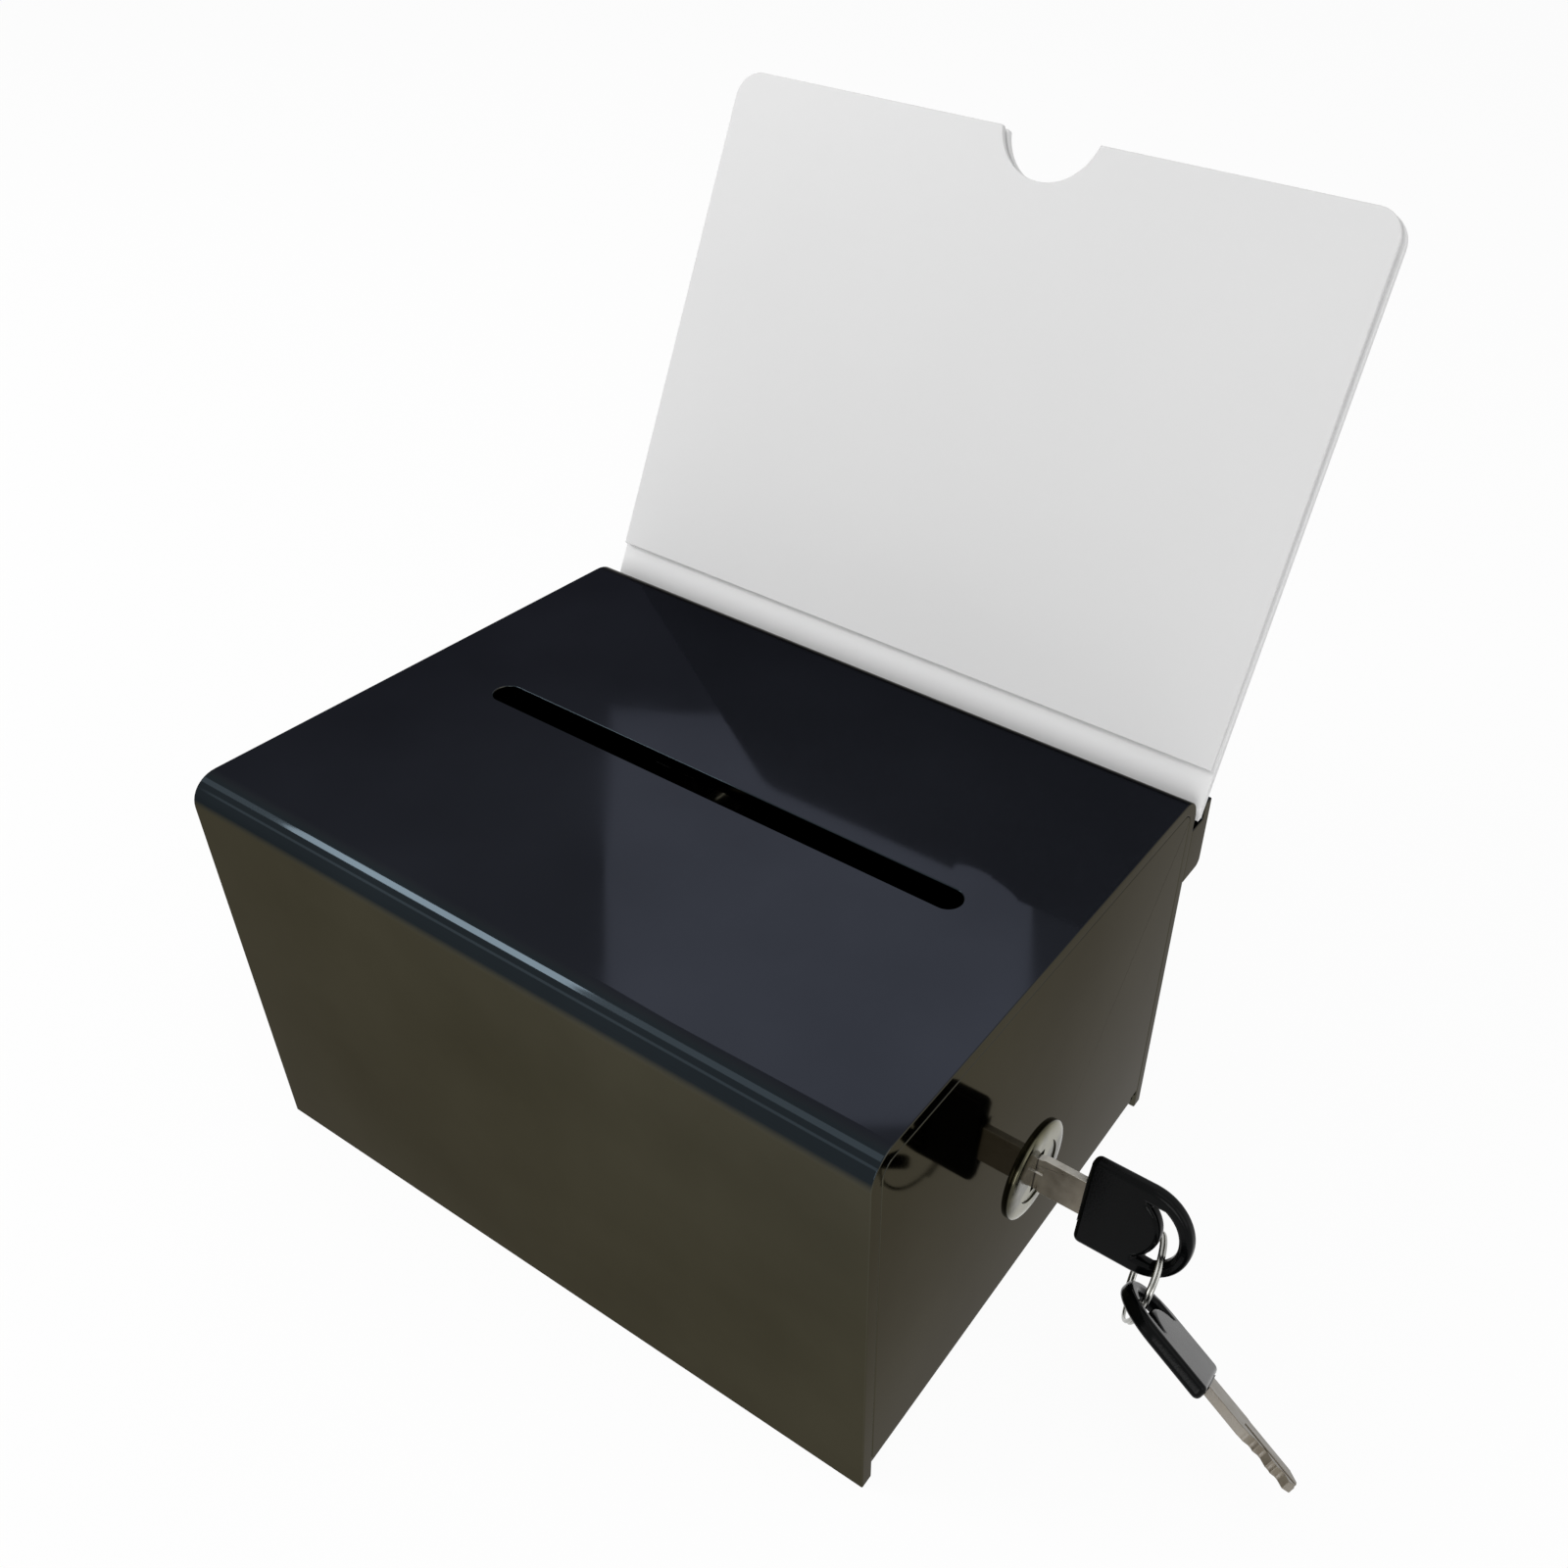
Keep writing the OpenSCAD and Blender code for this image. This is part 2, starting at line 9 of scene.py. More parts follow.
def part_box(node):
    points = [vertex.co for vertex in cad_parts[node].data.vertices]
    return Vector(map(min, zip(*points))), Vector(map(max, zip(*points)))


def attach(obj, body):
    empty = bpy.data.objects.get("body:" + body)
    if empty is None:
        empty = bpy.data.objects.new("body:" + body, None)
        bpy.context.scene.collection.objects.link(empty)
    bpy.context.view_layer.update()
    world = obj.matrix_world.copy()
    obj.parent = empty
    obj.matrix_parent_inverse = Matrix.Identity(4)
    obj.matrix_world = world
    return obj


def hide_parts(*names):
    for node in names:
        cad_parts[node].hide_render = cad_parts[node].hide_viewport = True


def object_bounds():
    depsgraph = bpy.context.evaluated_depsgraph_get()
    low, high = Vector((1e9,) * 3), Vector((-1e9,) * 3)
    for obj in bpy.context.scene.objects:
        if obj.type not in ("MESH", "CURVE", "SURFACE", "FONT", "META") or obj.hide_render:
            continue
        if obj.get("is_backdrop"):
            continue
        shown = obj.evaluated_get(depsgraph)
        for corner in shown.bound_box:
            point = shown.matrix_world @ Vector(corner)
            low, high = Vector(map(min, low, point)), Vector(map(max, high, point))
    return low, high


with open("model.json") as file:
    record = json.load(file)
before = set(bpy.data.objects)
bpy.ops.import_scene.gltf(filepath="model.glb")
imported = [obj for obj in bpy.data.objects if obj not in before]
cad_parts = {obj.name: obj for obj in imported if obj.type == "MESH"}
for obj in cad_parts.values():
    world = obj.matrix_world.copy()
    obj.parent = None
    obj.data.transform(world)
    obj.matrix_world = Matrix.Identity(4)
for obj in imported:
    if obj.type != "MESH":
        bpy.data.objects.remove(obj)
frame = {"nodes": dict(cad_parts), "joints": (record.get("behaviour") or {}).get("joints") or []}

bl_info = {
    "name": "Ballot Box",
    "version": (1, 0, 0),
    "blender": (4, 5, 0),
    "location": "View3D > Sidebar > Ballot Box",
    "description": "Finishes the pieces of a slotted acrylic ballot box and sets its stage",
    "category": "Object",
}

MOTTLE = "Mottle"
FACING = "Facing"
TURNED = "Turned metal"
BROAD = "Broad faces"

CASE_SHEETS = ("shell", "left_side_panel", "right_side_panel", "sign_channel")
DOOR_SHEETS = ("bottom_door", "door_strike")
SIGN_SHEETS = ("sign_back_sheet", "sign_front_sheet")
HINGE_LEAVES = (
    "front_hinge_fixed_leaf",
    "rear_hinge_fixed_leaf",
    "front_hinge_moving_leaf",
    "rear_hinge_moving_leaf",
)
HINGE_PINS = ("front_hinge_pin", "rear_hinge_pin")
LEAF_SCREWS = ("fixed_leaf_screws", "moving_leaf_screws")
LOCK_FRONT = ("lock_housing", "lock_plug")
LOCK_BACK = ("lock_nut", "lock_cam", "cam_washer", "cam_screw")
BLADES = ("key_blade", "spare_key_blade")
HEADS = ("key_head", "spare_key_head")


class BallotBoxFinish(bpy.types.PropertyGroup):
    """Colours and edge sizes of the box's own pieces."""

    # The black sheet's colours are a painted reflection that changes with which way a face looks: bluish
    # black on level faces, olive brown on upright faces as if mirroring a wooden table, and a bluish
    # band on the long bends.
    acrylic_level_reflection: bpy.props.FloatVectorProperty(
        name="Acrylic, painted level reflection", description="Colour of the black sheet's level faces",
        subtype="COLOR", size=3, min=0, max=1, default=(0.0155, 0.0172, 0.0225))
    acrylic_upright_reflection: bpy.props.FloatVectorProperty(
        name="Acrylic, painted upright reflection", description="Colour of the black sheet's upright faces",
        subtype="COLOR", size=3, min=0, max=1, default=(0.067, 0.0635, 0.046))
    acrylic_bend_reflection: bpy.props.FloatVectorProperty(
        name="Acrylic, painted bend reflection", description="Colour of the black sheet's long bends",
        subtype="COLOR", size=3, min=0, max=1, default=(0.016, 0.021, 0.025))
    acrylic_edge: bpy.props.FloatVectorProperty(
        name="Acrylic, grazing", description="Share of the sheet's reflection at a low angle",
        subtype="COLOR", size=3, min=0, max=1, default=(0.46, 0.45, 0.44))
    acrylic_gloss: bpy.props.FloatProperty(
        name="Acrylic roughness", description="Lowest roughness of the black sheet",
        min=0, max=1, default=0.035)
    sign_front: bpy.props.FloatVectorProperty(
        name="Sign front", description="Colour of the sign's front sheet", subtype="COLOR",
        size=3, min=0, max=1, default=(0.72, 0.72, 0.72))
    # The back sheet is set lighter than the front to offset the shade that the box's black top and the
    # front sheet throw on its low strip: painted light.
    sign_back: bpy.props.FloatVectorProperty(
        name="Sign back, lightened against shade", description="Colour of the sign's back sheet", subtype="COLOR",
        size=3, min=0, max=1, default=(0.80, 0.80, 0.80))
    head: bpy.props.FloatVectorProperty(
        name="Key head", description="Colour of the moulded key heads", subtype="COLOR",
        size=3, min=0, max=1, default=(0.0022, 0.0025, 0.0027))
    nickel: bpy.props.FloatVectorProperty(
        name="Nickel", description="Colour of the blades", subtype="COLOR",
        size=3, min=0, max=1, default=(0.30, 0.27, 0.22))
    # The narrow edges of both blades get a much lighter colour than their faces: a painted highlight.
    nickel_edge_highlight: bpy.props.FloatVectorProperty(
        name="Nickel edge highlight", description="Colour of the key blade's narrow edges", subtype="COLOR",
        size=3, min=0, max=1, default=(0.85, 0.83, 0.78))
    spare_face: bpy.props.FloatVectorProperty(
        name="Spare's face", description="Colour of the spare blade's broad faces",
        subtype="COLOR", size=3, min=0, max=1, default=(0.13, 0.113, 0.083))
    spare_edge_highlight: bpy.props.FloatVectorProperty(
        name="Spare's edge highlight", description="Colour of the spare blade's narrow edges",
        subtype="COLOR", size=3, min=0, max=1, default=(0.22, 0.193, 0.15))
    # The lock chrome is drawn between this colour and a third of it, as painted bright and dark
    # reflection sectors.
    chrome: bpy.props.FloatVectorProperty(
        name="Chrome", description="Colour of the lock's bezel and plug", subtype="COLOR",
        size=3, min=0, max=1, default=(0.168, 0.16, 0.106))
    ring: bpy.props.FloatVectorProperty(
        name="Ring", description="Colour of the split ring's wire", subtype="COLOR",
        size=3, min=0, max=1, default=(0.36, 0.36, 0.34))
    steel: bpy.props.FloatVectorProperty(
        name="Steel", description="Colour of the hinges and screws", subtype="COLOR",
        size=3, min=0, max=1, default=(0.50, 0.51, 0.53))
    sheet_edge: bpy.props.FloatProperty(
        name="Sheet edge", description="Width of the polished edge on the sheets",
        subtype="DISTANCE", min=0, max=0.001, default=0.00025)
    head_edge: bpy.props.FloatProperty(
        name="Key head edge", description="Radius of the moulded edge of a key's head",
        subtype="DISTANCE", min=0, max=0.0015, default=0.0011)
    metal_edge: bpy.props.FloatProperty(
        name="Metal edge", description="Width of the broken edge on metal pieces",
        subtype="DISTANCE", min=0, max=0.0005, default=0.00012)
    lock_edge: bpy.props.FloatProperty(
        name="Lock edge", description="Width of the broken edge on the lock's front",
        subtype="DISTANCE", min=0, max=0.0005, default=0.00004)


class BallotBoxStage(bpy.types.PropertyGroup):
    """The camera's place, and the light and floor around the box."""

    camera_place: bpy.props.FloatVectorProperty(
        name="Camera", description="Place of the camera", subtype="TRANSLATION",
        unit="LENGTH", size=3, default=(0.155489, -0.112308, 0.266059))
    lens: bpy.props.FloatProperty(
        name="Lens", description="Focal length in millimetres", min=10, max=200,
        default=32.78)
    floor_size: bpy.props.FloatProperty(
        name="Floor", description="Side of the floor", subtype="DISTANCE", min=1, max=20,
        default=8)
    floor: bpy.props.FloatVectorProperty(
        name="Floor colour", description="Colour of the floor", subtype="COLOR",
        size=3, min=0, max=1, default=(0.88, 0.88, 0.88))
    sky_level: bpy.props.FloatProperty(
        name="Sky level", description="Strength of the sky as a light", min=0, max=2,
        default=0.35)


def finish_settings():
    return bpy.context.scene.ballot_box_finish


def stage_settings():
    return bpy.context.scene.ballot_box_stage


def new_group(name, inputs, outputs):
    """An empty shader group with the given sockets, and its entry and exit nodes."""
    group = bpy.data.node_groups.new(name, "ShaderNodeTree")
    for label, kind, value in inputs:
        socket = group.interface.new_socket(name=label, in_out="INPUT", socket_type=kind)
        socket.default_value = value
    for label, kind in outputs:
        group.interface.new_socket(name=label, in_out="OUTPUT", socket_type=kind)
    entry = group.nodes.new("NodeGroupInput")
    leave = group.nodes.new("NodeGroupOutput")
    return group, entry, leave


def add_math(tree, operation, first, second=None, third=None):
    """A Math node whose inputs are sockets or plain numbers."""
    node = tree.nodes.new("ShaderNodeMath")
    node.operation = operation
    for socket, value in zip(node.inputs, (first, second, third)):
        if isinstance(value, bpy.types.NodeSocket):
            tree.links.new(value, socket)
        elif value is not None:
            socket.default_value = value
    return node.outputs[0]


def blend_colours(tree, factor, first, second):
    """Colour between two others, from the first at 0 to the second at 1."""
    node = tree.nodes.new("ShaderNodeMix")
    node.data_type = "RGBA"
    for socket, value in ((node.inputs[0], factor), (node.inputs[6], first), (node.inputs[7], second)):
        if isinstance(value, bpy.types.NodeSocket):
            tree.links.new(value, socket)
        else:
            socket.default_value = value
    return node.outputs[2]


def mottle_group():
    """Cloudy variation in the piece's own space: a mask, a value and a colour."""
    if MOTTLE in bpy.data.node_groups:
        return bpy.data.node_groups[MOTTLE]
    inputs = (
        ("Scale", "NodeSocketFloat", 40.0),
        ("Detail", "NodeSocketFloat", 4.0),
        ("Stretch", "NodeSocketVector", (1.0, 1.0, 1.0)),
        ("Low", "NodeSocketFloat", 0.0),
        ("High", "NodeSocketFloat", 1.0),
        ("Dark", "NodeSocketColor", (0.0, 0.0, 0.0, 1.0)),
        ("Light", "NodeSocketColor", (1.0, 1.0, 1.0, 1.0)),
    )
    outputs = (
        ("Mask", "NodeSocketFloat"),
        ("Value", "NodeSocketFloat"),
        ("Colour", "NodeSocketColor"),
    )
    group, entry, leave = new_group(MOTTLE, inputs, outputs)
    nodes, links = group.nodes, group.links
    place = nodes.new("ShaderNodeTexCoord")
    stretch = nodes.new("ShaderNodeVectorMath")
    stretch.operation = "MULTIPLY"
    noise = nodes.new("ShaderNodeTexNoise")
    mask = nodes.new("ShaderNodeMapRange")
    mask.inputs["From Min"].default_value = 0.3
    mask.inputs["From Max"].default_value = 0.7
    value = nodes.new("ShaderNodeMapRange")
    colour = nodes.new("ShaderNodeMix")
    colour.data_type = "RGBA"
    links.new(place.outputs["Object"], stretch.inputs[0])
    links.new(entry.outputs["Stretch"], stretch.inputs[1])
    links.new(stretch.outputs["Vector"], noise.inputs["Vector"])
    links.new(entry.outputs["Scale"], noise.inputs["Scale"])
    links.new(entry.outputs["Detail"], noise.inputs["Detail"])
    links.new(noise.outputs["Fac"], mask.inputs["Value"])
    links.new(mask.outputs["Result"], value.inputs["Value"])
    links.new(entry.outputs["Low"], value.inputs["To Min"])
    links.new(entry.outputs["High"], value.inputs["To Max"])
    links.new(mask.outputs["Result"], colour.inputs["Factor"])
    links.new(entry.outputs["Dark"], colour.inputs[6])
    links.new(entry.outputs["Light"], colour.inputs[7])
    links.new(mask.outputs["Result"], leave.inputs["Mask"])
    links.new(value.outputs["Result"], leave.inputs["Value"])
    links.new(colour.outputs[2], leave.inputs["Colour"])
    return group


def facing_group():
    """Paints a sheet's reflection colour by which way its faces look, in its own space: one colour for
    level faces, one for upright faces and one for its long bends.
    """
    if FACING in bpy.data.node_groups:
        return bpy.data.node_groups[FACING]
    inputs = (
        ("Level", "NodeSocketColor", (0.0, 0.0, 0.0, 1.0)),
        ("Upright", "NodeSocketColor", (1.0, 1.0, 1.0, 1.0)),
        ("Bend", "NodeSocketColor", (0.0, 0.0, 0.0, 1.0)),
    )
    outputs = (("Colour", "NodeSocketColor"), ("Bend", "NodeSocketFloat"))
    group, entry, leave = new_group(FACING, inputs, outputs)
    place = group.nodes.new("ShaderNodeTexCoord")
    parts = group.nodes.new("ShaderNodeSeparateXYZ")
    group.links.new(place.outputs["Normal"], parts.inputs[0])
    along = add_math(group, "MULTIPLY", parts.outputs["Y"], parts.outputs["Y"])
    up = add_math(group, "MULTIPLY", parts.outputs["Z"], parts.outputs["Z"])
    both = add_math(group, "MULTIPLY", along, up)
    steep = add_math(group, "MULTIPLY", both, 10.0)
    bend = add_math(group, "MINIMUM", steep, 1.0)
    flat = blend_colours(group, up, entry.outputs["Upright"], entry.outputs["Level"])
    colour = blend_colours(group, bend, flat, entry.outputs["Bend"])
    group.links.new(colour, leave.inputs["Colour"])
    group.links.new(bend, leave.inputs["Bend"])
    return group


def broad_group():
    """Tells a flat piece's two broad faces from its edges, in its own space."""
    if BROAD in bpy.data.node_groups:
        return bpy.data.node_groups[BROAD]
    inputs = (
        ("Direction", "NodeSocketVector", (0.0, 0.0, 1.0)),
        ("Face", "NodeSocketColor", (0.0, 0.0, 0.0, 1.0)),
        ("Edge", "NodeSocketColor", (1.0, 1.0, 1.0, 1.0)),
    )
    outputs = (("Colour", "NodeSocketColor"), ("Broad", "NodeSocketFloat"))
    group, entry, leave = new_group(BROAD, inputs, outputs)
    place = group.nodes.new("ShaderNodeTexCoord")
    match = group.nodes.new("ShaderNodeVectorMath")
    match.operation = "DOT_PRODUCT"
    group.links.new(place.outputs["Normal"], match.inputs[0])
    group.links.new(entry.outputs["Direction"], match.inputs[1])
    mask = add_math(group, "POWER", add_math(group, "ABSOLUTE", match.outputs["Value"]), 2.0)
    colour = blend_colours(group, mask, entry.outputs["Edge"], entry.outputs["Face"])
    group.links.new(colour, leave.inputs["Colour"])
    group.links.new(mask, leave.inputs["Broad"])
    return group


def turned_group():
    """Fine rings round the lock's axis and its thread, with broad bright and dark sectors that are a
    painted reflection on faces looking along the axis.
    """
    if TURNED in bpy.data.node_groups:
        return bpy.data.node_groups[TURNED]
    inputs = (
        ("Axis", "NodeSocketVector", (0.0, 0.0, 0.0)),
        ("Pitch", "NodeSocketFloat", 0.0002),
        ("Thread", "NodeSocketFloat", 0.001),
        ("Dark", "NodeSocketColor", (0.2, 0.2, 0.2, 1.0)),
        ("Light", "NodeSocketColor", (0.9, 0.9, 0.9, 1.0)),
    )
    outputs = (
        ("Colour", "NodeSocketColor"),
        ("Rings", "NodeSocketFloat"),
        ("Thread", "NodeSocketFloat"),
    )
    group, entry, leave = new_group(TURNED, inputs, outputs)
    place = group.nodes.new("ShaderNodeTexCoord")
    offset = group.nodes.new("ShaderNodeVectorMath")
    offset.operation = "SUBTRACT"
    group.links.new(place.outputs["Object"], offset.inputs[0])
    group.links.new(entry.outputs["Axis"], offset.inputs[1])
    parts = group.nodes.new("ShaderNodeSeparateXYZ")
    group.links.new(offset.outputs["Vector"], parts.inputs[0])
    facing = group.nodes.new("ShaderNodeSeparateXYZ")
    group.links.new(place.outputs["Normal"], facing.inputs[0])
    across = add_math(group, "MULTIPLY", parts.outputs["Y"], parts.outputs["Y"])
    up = add_math(group, "MULTIPLY_ADD", parts.outputs["Z"], parts.outputs["Z"], across)
    radius = add_math(group, "SQRT", up)
    around = group.nodes.new("ShaderNodeCombineXYZ")
    for name in ("Y", "Z"):
        group.links.new(add_math(group, "DIVIDE", parts.outputs[name], radius), around.inputs[name])
    patchy = group.nodes.new("ShaderNodeTexNoise")
    patchy.inputs["Scale"].default_value = 2.4
    patchy.inputs["Detail"].default_value = 1
    group.links.new(around.outputs[0], patchy.inputs["Vector"])
    # Painted reflection: bright and dark lobes and patches round the axis, lit only on faces that look
    # along +x, so the sides stay dark.
    angle = add_math(group, "ARCTAN2", parts.outputs["Z"], parts.outputs["Y"])
    twice = add_math(group, "MULTIPLY_ADD", angle, 2.0, -2.1)
    wave = add_math(group, "COSINE", twice)
    patches = add_math(group, "MULTIPLY_ADD", patchy.outputs["Fac"], 2.0, -0.5)
    sector = add_math(group, "MULTIPLY_ADD", wave, 0.6, patches)
    front = add_math(group, "POWER", facing.outputs["X"], 2.0)
    bright = add_math(group, "MULTIPLY", sector, front)
    level = group.nodes.new("ShaderNodeClamp")
    group.links.new(bright, level.inputs["Value"])
    colour = blend_colours(group, level.outputs[0], entry.outputs["Dark"], entry.outputs["Light"])
    turns = add_math(group, "DIVIDE", radius, entry.outputs["Pitch"])
    rings = add_math(group, "PINGPONG", turns, 1.0)
    lead = add_math(group, "DIVIDE", parts.outputs["X"], entry.outputs["Thread"])
    thread = add_math(group, "PINGPONG", lead, 0.5)
    behind = add_math(group, "LESS_THAN", parts.outputs["X"], -0.0005)
    relief = add_math(group, "MULTIPLY", thread, behind)
    group.links.new(colour, leave.inputs["Colour"])
    group.links.new(rings, leave.inputs["Rings"])
    group.links.new(relief, leave.inputs["Thread"])
    return group


def add_mottle(material, scale, low, high, stretch=(1, 1, 1), detail=4, dark=None, light=None):
    """Places the mottle group in a material with its own values."""
    node = material.node_tree.nodes.new("ShaderNodeGroup")
    node.node_tree = mottle_group()
    node.inputs["Scale"].default_value = scale
    node.inputs["Detail"].default_value = detail
    node.inputs["Stretch"].default_value = stretch
    node.inputs["Low"].default_value = low
    node.inputs["High"].default_value = high
    if dark:
        node.inputs["Dark"].default_value = (*dark, 1)
    if light:
        node.inputs["Light"].default_value = (*light, 1)
    return node


def add_bump(material, height, strength, distance):
    """Feeds a mask to the shader's normal as a shallow relief."""
    tree = material.node_tree
    bump = tree.nodes.new("ShaderNodeBump")
    bump.inputs["Strength"].default_value = strength
    bump.inputs["Distance"].default_value = distance
    tree.links.new(height, bump.inputs["Height"])
    tree.links.new(bump.outputs["Normal"], tree.nodes["Principled BSDF"].inputs["Normal"])


def base_material(name, **values):
    """A material whose shader has the given uniform values."""
    material = bpy.data.materials.new(name)
    material.use_nodes = True
    shader = material.node_tree.nodes["Principled BSDF"]
    for socket, value in values.items():
        shader.inputs[socket.replace("_", " ")].default_value = value
    return material


def shades(colour, spread):
    """A darker and a lighter shade about a colour."""
    dark = tuple(c * (1 - spread) for c in colour)
    light = tuple(min(1, c * (1 + spread)) for c in colour)
    return dark, light


def varied(name, colour, spread, scale, low, high, stretch=(1, 1, 1), **values):
    """A material whose colour and roughness both follow one mottle."""
    material = base_material(name, **values)
    dark, light = shades(colour, spread)
    mottle = add_mottle(material, scale, low, high, stretch, dark=dark, light=light)
    shader = material.node_tree.nodes["Principled BSDF"]
    material.node_tree.links.new(mottle.outputs["Colour"], shader.inputs["Base Color"])
    material.node_tree.links.new(mottle.outputs["Value"], shader.inputs["Roughness"])
    return material


def acrylic_material():
    """Polished black sheet with a faint waviness, a few handling marks and reflections painted into its
    colour by which way each face looks.
    """
    finish = finish_settings()
    material = base_material(
        "Black acrylic", Metallic=1.0, Specular_Tint=(*finish.acrylic_edge, 1))
    tree = material.node_tree
    shader = tree.nodes["Principled BSDF"]
    # Painted reflection: level, upright and bend faces each get their own reflection colour.
    facing = tree.nodes.new("ShaderNodeGroup")
    facing.node_tree = facing_group()
    facing.inputs["Level"].default_value = (*finish.acrylic_level_reflection, 1)
    facing.inputs["Upright"].default_value = (*finish.acrylic_upright_reflection, 1)
    facing.inputs["Bend"].default_value = (*finish.acrylic_bend_reflection, 1)
    marks = add_mottle(
        material, 22, finish.acrylic_gloss, finish.acrylic_gloss + 0.05,
        dark=(0.80, 0.80, 0.80), light=(1.0, 1.0, 1.0))
    shaded = tree.nodes.new("ShaderNodeMix")
    shaded.data_type = "RGBA"
    shaded.blend_type = "MULTIPLY"
    shaded.inputs[0].default_value = 1
    tree.links.new(facing.outputs["Colour"], shaded.inputs[6])
    tree.links.new(marks.outputs["Colour"], shaded.inputs[7])
    tree.links.new(shaded.outputs[2], shader.inputs["Base Color"])
    tree.links.new(marks.outputs["Value"], shader.inputs["Roughness"])
    wave = add_mottle(material, 14, 0, 1, detail=1)
    add_bump(material, wave.outputs["Mask"], 0.12, 0.0006)
    return material


def sign_material(name, colour):
    """Pale grey sheet with a satin face."""
    material = varied(
        name, colour, 0.012, 12, 0.34, 0.42, IOR=1.3, Specular_IOR_Level=0.35)
    wave = add_mottle(material, 10, 0, 1, detail=1)
    add_bump(material, wave.outputs["Mask"], 0.06, 0.0006)
    return material


def head_material():
    """Moulded black plastic with a very fine spark texture."""
    material = varied(
        "Key head plastic", finish_settings().head, 0.2, 120, 0.13, 0.2, IOR=1.16)
    grain = add_mottle(material, 2200, 0, 1, detail=2)
    add_bump(material, grain.outputs["Mask"], 0.18, 0.00004)
    return material


def turned_material(name, dark, light):
    """Chrome that was turned on a lathe, with the thread on the lock's body and a reflection painted in
    bright and dark sectors.
    """
    material = base_material(name, Metallic=1.0)
    tree = material.node_tree
    shader = tree.nodes["Principled BSDF"]
    turned = tree.nodes.new("ShaderNodeGroup")
    turned.node_tree = turned_group()
    turned.inputs["Axis"].default_value = lock_axis()
    turned.inputs["Dark"].default_value = (*dark, 1)
    turned.inputs["Light"].default_value = (*light, 1)
    marks = add_mottle(material, 500, 0.08, 0.2)
    relief = add_math(tree, "MULTIPLY_ADD", turned.outputs["Rings"], 0.02, turned.outputs["Thread"])
    tree.links.new(turned.outputs["Colour"], shader.inputs["Base Color"])
    tree.links.new(marks.outputs["Value"], shader.inputs["Roughness"])
    add_bump(material, relief, 1.0, 0.0006)
    return material


def blade_material(node, face, edge):
    """Drawn nickel sheet, with a painted highlight: its narrow edges get a brighter colour and less
    metal than its two broad faces.
    """
    material = base_material(node.replace("_", " ").capitalize())
    tree = material.node_tree
    shader = tree.nodes["Principled BSDF"]
    broad = tree.nodes.new("ShaderNodeGroup")
    broad.node_tree = broad_group()
    broad.inputs["Direction"].default_value = broad_direction(frame["nodes"][node])
    broad.inputs["Face"].default_value = (*face, 1)
    broad.inputs["Edge"].default_value = (*edge, 1)
    marks = add_mottle(
        material, 260, 0.26, 0.36, detail=2, dark=(0.82, 0.80, 0.78), light=(1.0, 1.0, 1.0))
    shaded = tree.nodes.new("ShaderNodeMix")
    shaded.data_type = "RGBA"
    shaded.blend_type = "MULTIPLY"
    shaded.inputs[0].default_value = 1
    tree.links.new(broad.outputs["Colour"], shaded.inputs[6])
    tree.links.new(marks.outputs["Colour"], shaded.inputs[7])
    tree.links.new(shaded.outputs[2], shader.inputs["Base Color"])
    tree.links.new(marks.outputs["Value"], shader.inputs["Roughness"])
    # Less metal on the edges lets the lamps light their bright colour, which paints the highlight.
    metallic = add_math(tree, "MULTIPLY_ADD", broad.outputs["Broad"], 0.9, 0.0)
    tree.links.new(metallic, shader.inputs["Metallic"])
    grain = add_mottle(material, 900, 0, 1, detail=2)
    add_bump(material, grain.outputs["Mask"], 0.12, 0.00002)
    return material


def metal_material(name, colour, low, high, stretch=(1, 1, 1), scale=300, relief=0.15):
    """Metal with fine working marks along the least stretched direction."""
    material = varied(name, colour, 0.06, scale, low, high, stretch, Metallic=1.0)
    marks = add_mottle(material, scale * 4, 0, 1, stretch)
    add_bump(material, marks.outputs["Mask"], relief, 0.00002)
    return material


def lock_axis():
    """Where the lock's axis leaves the right side panel, from its own pieces."""
    low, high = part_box("lock_plug")
    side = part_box("right_side_panel")[1][0]
    return (side, (low[1] + high[1]) / 2, (low[2] + high[2]) / 2)


def broad_direction(piece):
    """Direction that a flat piece's broad faces look in."""
    widest = max(piece.data.polygons, key=lambda polygon: polygon.area)
    return tuple(widest.normal)


def soften(piece, width, segments, overlap=True):
    """Rounds a piece's sharp edges by the given width."""
    weld = piece.modifiers.new("Joined faces", "WELD")
    weld.merge_threshold = 2e-6
    planes = piece.modifiers.new("Whole faces", "DECIMATE")
    planes.decimate_type = "DISSOLVE"
    planes.angle_limit = math.radians(0.5)
    bevel = piece.modifiers.new("Softened edges", "BEVEL")
    bevel.width = width
    bevel.segments = segments
    bevel.limit_method = "ANGLE"
    bevel.angle_limit = math.radians(35)
    bevel.use_clamp_overlap = not overlap
    piece.modifiers.new("Even shading", "WEIGHTED_NORMAL")


def dress(names, material, width, segments=2, overlap=True):
    """Gives CAD pieces their material and softened edges."""
    for name in names:
        piece = frame["nodes"][name]
        if not piece.material_slots:
            piece.data.materials.append(material)
        for slot in piece.material_slots:
            slot.material = material
        soften(piece, width, segments, overlap)


def ring_measures():
    """Centre, radius, wire radius, coil offset and directions of the ring, from its own node."""
    points = [vertex.co for vertex in frame["nodes"]["key_ring"].data.vertices]
    centre = sum(points, Vector()) / len(points)
    swing = next(joint for joint in frame["joints"] if joint["name"] == "ring_swing")
    along = Vector(swing["axis"]).normalized()
    up = Vector(swing["pos_m"]) - centre
    radius = up.length
    up.normalize()
    axis = up.cross(along).normalized()
    reach = max(((point - centre) - axis * axis.dot(point - centre)).length for point in points)
    side = max(abs(axis.dot(point - centre)) for point in points)
    wire = reach - radius
    return centre, radius, wire, side - wire, up, along, axis


